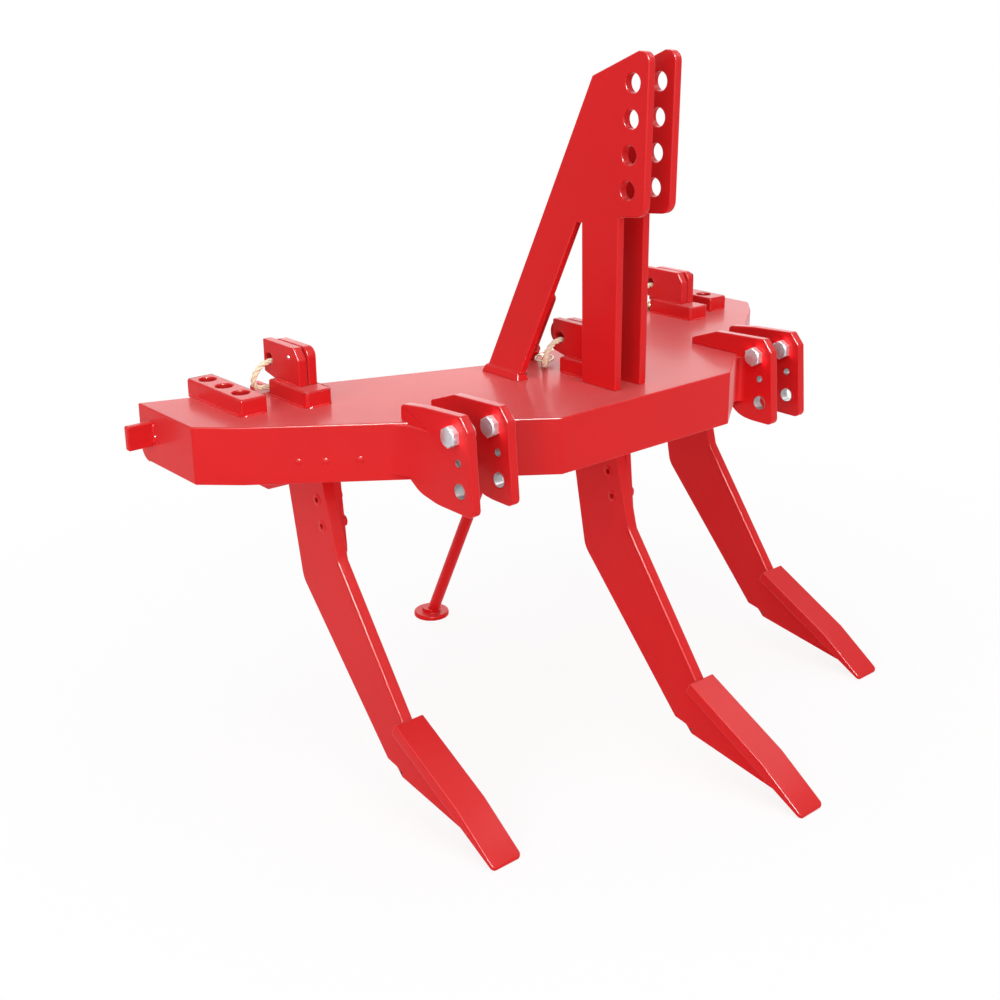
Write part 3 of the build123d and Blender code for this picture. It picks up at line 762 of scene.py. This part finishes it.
def screw(start: float, end: float, radius: float, pitch: float = 3.0, deep: float = 0.9) -> Array:
    """Turn a thread's end as rings, r = R - h for every second row, with a chamfered tip.

    Args:
        start: where the thread starts, in millimetres.
        end: its tip.
        radius: the thread's outer radius.
        pitch: from crest to crest.
        deep: the groove's depth.

    Returns:
        A grid about the X axis.
    """
    steps = np.arange(start, end - 1.0, pitch / 2)
    radii = np.where(np.arange(len(steps)) % 2 == 0, radius, radius - deep)
    tip = [(end - 0.8, radius - 0.6), (end, radius - 1.6)]
    return turned(list(zip(steps.tolist(), radii.tolist())) + tip, 32)


def dome(radius: float, height: float, buried: float = 1.5) -> Array:
    """Turn a low dome about +X: x = h sin u, r = R cos u, on a short buried skirt.

    Args:
        radius: the dome's radius, in millimetres.
        height: its height.
        buried: the skirt's depth.

    Returns:
        A grid about the X axis.
    """
    u = np.linspace(0, np.pi / 2 * 0.98, 9)
    return turned([(-buried, radius)] + list(zip(height * np.sin(u), radius * np.cos(u))), 28)


@dataclass
class Fasteners:
    """Hitch bolts, shank bolts, the clamp bolt, plugs, pins and bores, in the source's millimetres."""

    finishes: Finishes
    plugs: Sequence[tuple[float, float, float]] = (  # in the left wing's front
        (-631.6, 171.2, 660.4), (-591.4, 142.2, 659.8), (-540.0, 105.1, 661.0),
    )
    wing: tuple[float, float, float] = (-346.0, -480.0, 0.0)  # the way that the front faces
    plug: tuple[float, float] = (7.5, 3.2)  # radius and height
    cheek: tuple[float, float, float] = (-547.5, 323.1, 814.8)  # grease plug on the left head
    cheek_dot: tuple[float, float] = (3.6, 2.4)
    end: tuple[float, float, float] = (-780.0, 440.8, 676.4)  # bare spot on the left end
    end_dot: tuple[float, float] = (2.2, 1.0)
    heel: tuple[float, float, float] = (-12.5, -262.0, 57.0)  # from each shank's place
    heel_pin: tuple[float, float] = (3.0, 0.7)
    lining: float = 0.4  # wall of a bore's bare skin
    hair: float = 0.05  # between skin and bore
    lip: float = 0.1  # the skin's bevel at each end

    def trim(self) -> None:
        """Fill the holes on the left wing, set a grease plug on the left head, and pin the heels."""
        left = (-1, 0, 0)
        plugs = [placed(dome(*self.plug), in_frame(*p), self.wing) for p in self.plugs]
        make_piece("wing_plugs", surface(plugs), self.finishes.enamel)
        dots = [
            placed(dome(*self.cheek_dot), in_frame(*self.cheek), left),
            placed(dome(*self.end_dot), in_frame(*self.end), left),
        ]
        make_piece("bare_dots", surface(dots), self.finishes.zinc)
        heels = [placed(dome(*self.heel_pin), row.at(*self.heel), left) for row in Row]
        # the heel pins' near-black is partly painted shade of the holes they sit in
        make_piece("heel_pins", surface(heels), self.finishes.dark_pin_and_hole_shade)

    def bores(self, mounts: Sequence[dict]) -> None:
        """Line the hitch holes with bare machined walls, a hair inside each bore.

        Args:
            mounts: the record's mounts, of which the lower links' are lined.
        """
        grids = []
        for mount in mounts:
            if mount["name"].startswith("lower_"):
                half, radius = mount["dims"]["length_mm"] / 2, mount["dims"]["r_mm"]
                out = radius - self.hair
                inside, edge = out - self.lining, half - self.lip
                line = [(-half, inside), (-edge, out), (edge, out), (half, inside)]
                grids.append(placed(turned(line), mount["pos_m"], mount["axis"]))
        make_piece("bore_walls", surface(grids, ring_shut=True), self.finishes.bare, 20)

    def build(self, nodes: dict[str, bpy.types.Object], mounts: Sequence[dict]) -> None:
        """Make every fastener.

        Args:
            nodes: the frame's nodes by name.
            mounts: the record's mounts.
        """
        for side in Side:
            for place in (Place.OUTER, Place.INNER):
                HexBolt().build(side, place, self.finishes.zinc)
        for row in Row:
            for place in (Place.UPPER, Place.LOWER):
                ButtonBolt().build(row, place, self.finishes.enamel)
        clamp = nodes["stand_clamp_bolt"]
        clamp.data.materials.clear()
        clamp.data.materials.append(self.finishes.zinc)
        self.trim()
        self.bores(mounts)


# ---- weld seams ----
@dataclass
class Welds:
    """Fillet welds under the enamel: half-buried beads with the ripples of a hand-held gun."""

    enamel: bpy.types.Material
    radius: float = 3.6 * MM
    ripple: float = 6 * MM
    dip: float = 0.14  # share of the radius that is lost between ripples
    thin_end: float = 0.35  # share of the radius where a run starts and stops
    short: float = 4 * MM  # a run round a base block stops this far short of its corners
    strip_short: float = 3 * MM
    tab_short: float = 2 * MM
    plate_short: tuple[float, float] = (2 * MM, 6 * MM)  # in front of and behind a head's plate
    bracket: tuple[float, float] = (-30.0, 148.0)  # a bracket's runs, in mm from the shank's place
    askew: tuple[float, float, float] = (0.31, 0.27, 0.91)  # no bead runs along this
    rings: int = 5  # to each ripple
    runs: list[Array] = field(default_factory=list)

    def bead(self, start: Sequence[float], end: Sequence[float]) -> None:
        """Lay one straight bead: r(s) = R (1 - dip + dip |sin(pi s / ripple)|), thinner at its ends.

        Args:
            start: its first end.
            end: its other end.
        """
        a, b = np.asarray(start, float), np.asarray(end, float)
        length = np.linalg.norm(b - a)
        s = np.linspace(0, length, max(int(length / self.ripple * self.rings), 8))
        taper = np.clip(np.minimum(s, length - s) / (2 * self.radius), self.thin_end, 1)
        wave = 1 - self.dip + self.dip * np.abs(np.sin(np.pi * s / self.ripple))
        radius = self.radius * taper * wave
        path = a + (b - a) * (s / length)[:, None]
        self.runs.append(carried(path, radius, 10, up=self.askew))

    def around(self, node: str, z: float, inset: float) -> None:
        """Lay beads round the foot of a box-shaped node.

        Args:
            node: the CAD node.
            z: the height of the plate that it stands on.
            inset: how far each bead stops short of the corners.
        """
        low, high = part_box(node)
        (x0, y0), (x1, y1) = (low.x, low.y), (high.x, high.y)
        lines = [(x0, y0, x1, y0), (x0, y1, x1, y1), (x0, y0, x0, y1), (x1, y0, x1, y1)]
        for xa, ya, xb, yb in lines:
            p, q = np.array([xa, ya, z]), np.array([xb, yb, z])
            step = (q - p) / np.linalg.norm(q - p) * inset
            self.bead(p + step, q - step)

    def build(self) -> None:
        """Weld the heads, strips, brackets and end tabs."""
        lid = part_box("frame_lid")[1].z
        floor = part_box("frame_tray")[0].z
        for row in Row:
            self.around(f"head_base_{row.word}", lid, self.short)
            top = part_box(f"head_base_{row.word}")[1]
            cheek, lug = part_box(f"head_cheek_{row.word}"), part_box(f"head_lug_{row.word}")
            front, rear = cheek[0].y + self.plate_short[0], top.y - self.plate_short[1]
            for x in (cheek[0].x, lug[1].x):
                self.bead((x, front, top.z), (x, rear, top.z))
            front, rear = (row.at(0, y, 0)[1] for y in self.bracket)
            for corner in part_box(f"shank_bracket_{row.word}"):
                self.bead((corner.x, front, floor), (corner.x, rear, floor))
        for side in Side:
            self.around(f"drilled_strip_{side.word}", lid, self.strip_short)
            low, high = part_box(f"end_tab_{side.word}")
            x = low.x if side is Side.RIGHT else high.x
            for y in (low.y, high.y):
                self.bead((x, y, low.z + self.tab_short), (x, y, high.z - self.tab_short))
        make_piece("weld_beads", surface(self.runs), self.enamel, 60)


# ---- lanyards ----
@dataclass
class Lanyard:
    """A twisted rope from a head's hole to its lynch pin, which lies on the frame."""

    row: Row
    route: Sequence[tuple[float, float, float]]  # the source's points, in millimetres from the shank
    length: float
    finishes: Finishes
    diameter: float = 12 * MM
    lay: float = 38 * MM  # one turn of the strands
    wide: float = 4.31  # three touching strands make a rope this many strand radii wide
    out: float = 1.1547  # with their centres this many radii out
    rings: int = 140  # along each strand
    flats: float = 14.0  # the pin's head and the rest of the pin, in millimetres
    head: float = 16.0
    face: Profile = ((0.0, 5.2), (0.6, 6.4))  # the head's face and its first chamfer
    chamfer: float = 2.2
    shaft: float = 5.0
    tip: Profile = ((51.8, 5.0), (53.6, 3.4), (54.0, 2.6))
    wire: float = 3.8  # the ring's wire
    ring: float = 19.0  # the ring's middle radius

    def line(self) -> Array:
        """Read the centreline from a NURBS spline through the route's control points.

        Returns:
            Points along the spline.
        """
        curve = bpy.data.curves.new("route", "CURVE")
        curve.dimensions = "3D"
        curve.resolution_u = 16
        spline = curve.splines.new("NURBS")
        spline.points.add(len(self.route) - 1)
        points = np.array([[*self.row.at(*point), 1.0] for point in self.route])
        spline.points.foreach_set("co", points.ravel())
        spline.order_u = 3
        spline.use_endpoint_u = True
        holder = bpy.data.objects.new("route", curve)
        mesh = bpy.data.meshes.new_from_object(holder)
        path = np.zeros(len(mesh.vertices) * 3)
        mesh.vertices.foreach_get("co", path)
        bpy.data.meshes.remove(mesh)
        bpy.data.objects.remove(holder)
        bpy.data.curves.remove(curve)
        return path.reshape(-1, 3)

    def rope(self, path: Array) -> bpy.types.Object:
        """Lay three strands round the centreline.

        Strand k's centre is p + a (n cos w + b sin w) with w = 2 pi (s / lay + k / 3), for the
        distance s along the path, and a ring of radius d / wide is carried along it.

        Args:
            path: the centreline.

        Returns:
            The rope.
        """
        s = np.concatenate([[0], np.cumsum(np.linalg.norm(np.diff(path, axis=0), axis=1))])
        fine = np.linspace(0, s[-1], self.rings)
        centre = np.stack([np.interp(fine, s, path[:, i]) for i in range(3)], -1)
        n, b = across(centre, (0, 1, 0))
        strand = self.diameter / self.wide
        grids = []
        for k in range(3):
            w = 2 * np.pi * (fine / self.lay + k / 3)[:, None]
            line = centre + self.out * strand * (n * np.cos(w) + b * np.sin(w))
            grids.append(carried(line, strand, 10))
        return make_piece(f"rope_{self.row.word}", surface(grids), self.finishes.hemp, 60)

    def pin(self, at: Array, along: Array) -> bpy.types.Object:
        """Make a lynch pin: hexagon head, chamfered pin, and a wire ring through the head.

        The ring is c + R (u cos v + w sin v), where u leans up from the pin just enough for the
        wire to lie on it, and w is level across it.

        Args:
            at: the head's outer face.
            along: the pin's direction.

        Returns:
            The pin.
        """
        corner = corner_of(self.flats)
        half = [*self.face, (self.chamfer, corner)]
        line = half + [(self.head - a, r) for a, r in reversed(half)]
        block = turned(line, 48, hexagon(self.flats))
        shaft = turned([(self.head - 1, self.shaft), *self.tip], 32)
        x = along / np.linalg.norm(along)
        lift = (self.shaft + self.wire / 2) / (2 * self.ring)
        u = x * np.sqrt(1 - lift**2) + np.array([0, 0, lift])
        w = np.cross(np.array([0, 0, 1.0]), x)
        v = np.linspace(0, 2 * np.pi, 64, endpoint=False)[:, None]
        centre = at + (self.head / 2 * x + self.ring * u) * MM
        path = centre + self.ring * MM * (u * np.cos(v) + w * np.sin(v))
        t = -u * np.sin(v) + w * np.cos(v)
        n = u * np.cos(v) + w * np.sin(v)
        b = np.cross(t, n)
        a = np.linspace(0, 2 * np.pi, 12, endpoint=False)[None, :, None]
        wire = path[:, None] + self.wire / 2 * MM * (n[:, None] * np.cos(a) + b[:, None] * np.sin(a))
        shape = together([
            surface([placed(block, at, x), placed(shaft, at, x)]),
            surface([wire], ring_shut=True),
        ])
        return make_piece(f"lynch_pin_{self.row.word}", shape, self.finishes.brass)

    def build(self) -> None:
        path = self.line()
        rope = self.rope(path)
        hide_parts(f"lanyard_rope_{self.row.word}")
        ends = [self.row.at(*point) for point in self.route[-2:]]
        pin = self.pin(ends[1], ends[1] - ends[0])
        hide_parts(f"lanyard_pin_{self.row.word}")


# ---- studio ----
@dataclass(frozen=True)
class Lamp:
    """A square soft lamp that faces the plow. One that only gloss sees draws lights on enamel."""

    name: str
    place: tuple[float, float, float]
    size: float
    watts: float
    gloss_only: bool = False


@dataclass
class Studio:
    """A wide white floor, a bright room and soft lamps."""

    location: tuple[float, float, float] = (-1.89826, -1.93864, 1.48590)
    turn: tuple[float, float, float] = (1.248839, 0.006701, -0.709246)
    lens: float = 49.582
    shift: tuple[float, float] = (-0.00333, -0.05381)
    floor_colour: str = "FAFAFA"
    floor_white: float = 0.86  # how much of the floor is plain white to the camera, under the plow
    fade: tuple[float, float] = (0.7, 2.2)  # from here to there it turns plain white
    floor_half: float = 150.0
    ambient: float = 0.76
    aim: tuple[float, float, float] = (0.0, 0.0, 0.5)
    lamps: Sequence[Lamp] = (
        Lamp("left", (-4.6, -1.2, 1.8), 3.0, 56.0),
        Lamp("front", (0.6, -5.0, 2.0), 3.0, 50.0),
        Lamp("top", (0.0, -0.8, 4.4), 3.0, 26.0),
        Lamp("softbox", (-2.2, -3.25, 4.35), 2.4, 4000.0, True),  # white lines on rounded edges
        Lamp("back_wall", (4.6, 5.6, 3.2), 7.0, 285.0, True),  # pale haze on the frame's top
        Lamp("share_card", (2.9, -1.1, 3.7), 1.6, 40.0, True),  # pale lower halves of the points
    )

    def camera(self) -> None:
        """Place the camera where the photograph was taken from."""
        data = bpy.data.cameras.new("camera")
        data.lens = self.lens
        data.shift_x, data.shift_y = self.shift
        data.clip_end = 500
        camera = bpy.data.objects.new("camera", data)
        camera.location = self.location
        camera.rotation_euler = self.turn
        bpy.context.scene.collection.objects.link(camera)
        bpy.context.scene.camera = camera

    def floor(self) -> None:
        """Lay the floor, which keeps a faint shadow and fades into plain white away from the plow."""
        material, tree = new_material("studio_floor")
        place = add_node(tree, "ShaderNodeTexCoord").outputs["Object"]
        away = add_node(tree, "ShaderNodeVectorMath", {"operation": "LENGTH"}, i0=place)
        fade = add_node(
            tree, "ShaderNodeMapRange", Value=away.outputs["Value"], From_Min=self.fade[0],
            From_Max=self.fade[1], To_Min=self.floor_white, To_Max=1.0,
        )
        seen = add_node(tree, "ShaderNodeLightPath").outputs["Is Camera Ray"]
        share = add_node(
            tree, "ShaderNodeMath", {"operation": "MULTIPLY"}, i0=fade.outputs[0], i1=seen
        )
        paper = add_node(tree, "ShaderNodeBsdfDiffuse", Color=linear(self.floor_colour))
        white = add_node(tree, "ShaderNodeEmission", Color=(1, 1, 1, 1), Strength=1.0)
        mix = add_node(
            tree, "ShaderNodeMixShader", i0=share.outputs[0], i1=paper.outputs[0], i2=white.outputs[0]
        )
        add_node(tree, "ShaderNodeOutputMaterial", Surface=mix.outputs[0])
        mesh = bpy.data.meshes.new("floor")
        far = self.floor_half
        corners = [(-far, -far, 0), (far, -far, 0), (far, far, 0), (-far, far, 0)]
        mesh.from_pydata(corners, [], [(0, 1, 2, 3)])
        mesh.materials.append(material)
        floor = bpy.data.objects.new("floor", mesh)
        bpy.context.scene.collection.objects.link(floor)

    def room(self) -> None:
        """Light the room evenly, and plain white to the camera and to gloss."""
        world = bpy.data.worlds.new("room")
        world.use_nodes = True
        bpy.context.scene.world = world
        tree = world.node_tree
        tree.nodes.clear()
        rays = add_node(tree, "ShaderNodeLightPath")
        seen = add_node(
            tree, "ShaderNodeMath", {"operation": "MAXIMUM"},
            i0=rays.outputs["Is Camera Ray"], i1=rays.outputs["Is Glossy Ray"],
        )
        strength = add_node(
            tree, "ShaderNodeMix", {"data_type": "FLOAT"}, i0=seen.outputs[0], i2=self.ambient, i3=1.0
        )
        back = add_node(tree, "ShaderNodeBackground", Color=(1, 1, 1, 1), Strength=strength.outputs[0])
        add_node(tree, "ShaderNodeOutputWorld", Surface=back.outputs[0])

    def lights(self) -> None:
        """Hang the soft lamps, each turned to the middle of the plow."""
        for spec in self.lamps:
            data = bpy.data.lights.new(spec.name, "AREA")
            data.size = spec.size
            data.energy = spec.watts
            lamp = bpy.data.objects.new(spec.name, data)
            lamp.location = spec.place
            aim = Vector(self.aim) - Vector(spec.place)
            lamp.rotation_euler = aim.to_track_quat("-Z", "Y").to_euler()
            lamp.visible_camera = False
            lamp.visible_diffuse = not spec.gloss_only
            bpy.context.scene.collection.objects.link(lamp)

    def build(self) -> None:
        """Make the camera, floor, room and lamps."""
        self.camera()
        self.floor()
        self.room()
        self.lights()
        bpy.context.scene.view_settings.view_transform = "Standard"


# The ropes' routes, in millimetres from the shank: out of the hole at z = 792.2, then down and
# along the lid.
DROP = [(0, 140, 792.2), (-17, 140, 792.2), (-33, 141, 783), (-43, 143, 768)]
OUTER = DROP + [(-45, 146, 752), (-36, 149, 741), (-20, 149, 738), (-4, 150, 738)]
MIDDLE = DROP + [(-44, 146, 752), (-38, 153, 741), (-28, 163, 738), (-18, 175, 738)]


def main() -> None:
    """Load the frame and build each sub-assembly in order."""
    logging.basicConfig(level=logging.INFO, format="%(name)s: %(message)s")
    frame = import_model()
    finishes = Finishes(
        enamel=Enamel().build(),
        zinc=Plating("zinc_plate", "D6D6D9", "A6A6AB").build(),
        brass=Plating("yellow_zinc", "D6D2B4", "AFA98C").build(),
        bare=Plating("machined_steel", "B2B2B5", "8E8C8C", 0.30).build(),
        hemp=Hemp().build(),
        # dark pin steel, darkened further as painted shade of the heel holes
        dark_pin_and_hole_shade=Plating("oiled_spring_steel", "4A3A3A", "2C2424", 0.5).build(),
    )
    Lanyard(Row.LEFT, OUTER, 0.1146, finishes).build()
    Lanyard(Row.MIDDLE, MIDDLE, 0.1124, finishes).build()
    Lanyard(Row.RIGHT, OUTER, 0.1146, finishes).build()
    Fasteners(finishes).build(frame["nodes"], frame["record"]["mounts"])
    Plates(finishes, frame["nodes"]).build()
    Welds(finishes.enamel).build()
    Studio().build()


if __name__ == "__main__":
    main()
